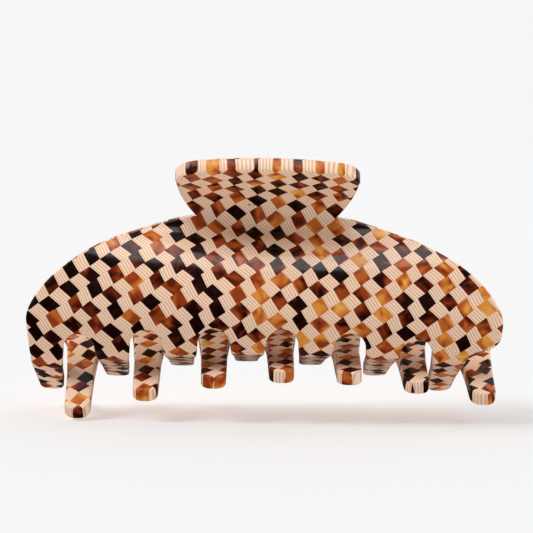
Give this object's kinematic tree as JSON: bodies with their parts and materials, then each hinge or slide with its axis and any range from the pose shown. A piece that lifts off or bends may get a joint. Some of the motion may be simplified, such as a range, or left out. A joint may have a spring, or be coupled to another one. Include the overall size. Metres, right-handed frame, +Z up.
{
  "type": "hair claw clip",
  "caption": "Large toothed hair claw clip: two bent acetate jaws with finger handles on a sprung steel hinge, in a checkered tortoiseshell pattern.",
  "frame": {"origin": "middle of the clip, on the surface its teeth stand on", "axes": "+X along the clip, the front jaw towards -Y, +Z up towards the handles"},
  "size_m": [0.1056, 0.0424, 0.0582],
  "materials": {
    "acetate": "polished, laminated cream and tortoiseshell blocks",
    "hinge_steel": "plain bright",
    "spring_steel": "bright drawn wire"
  },
  "bodies": {
    "rear_side": {"rear_jaw": "acetate", "rear_hinge_leaf": "hinge_steel", "rear_staple_left": "hinge_steel", "rear_staple_right": "hinge_steel", "hinge_pin": "hinge_steel", "torsion_spring": "spring_steel"},
    "front_side": {"front_jaw": "acetate", "front_hinge_leaf": "hinge_steel", "front_staple_left": "hinge_steel", "front_staple_right": "hinge_steel"}
  },
  "joints": [
    {"name": "hinge", "type": "hinge", "parent": "rear_side", "child": "front_side", "pos_m": [0, 0, 0.04495], "axis": [-1, 0, 0], "range_deg": [0, 70], "stiffness_Nm_per_rad": 0.1, "springref_deg": -28.65, "deforming": ["torsion_spring"]}
  ]
}
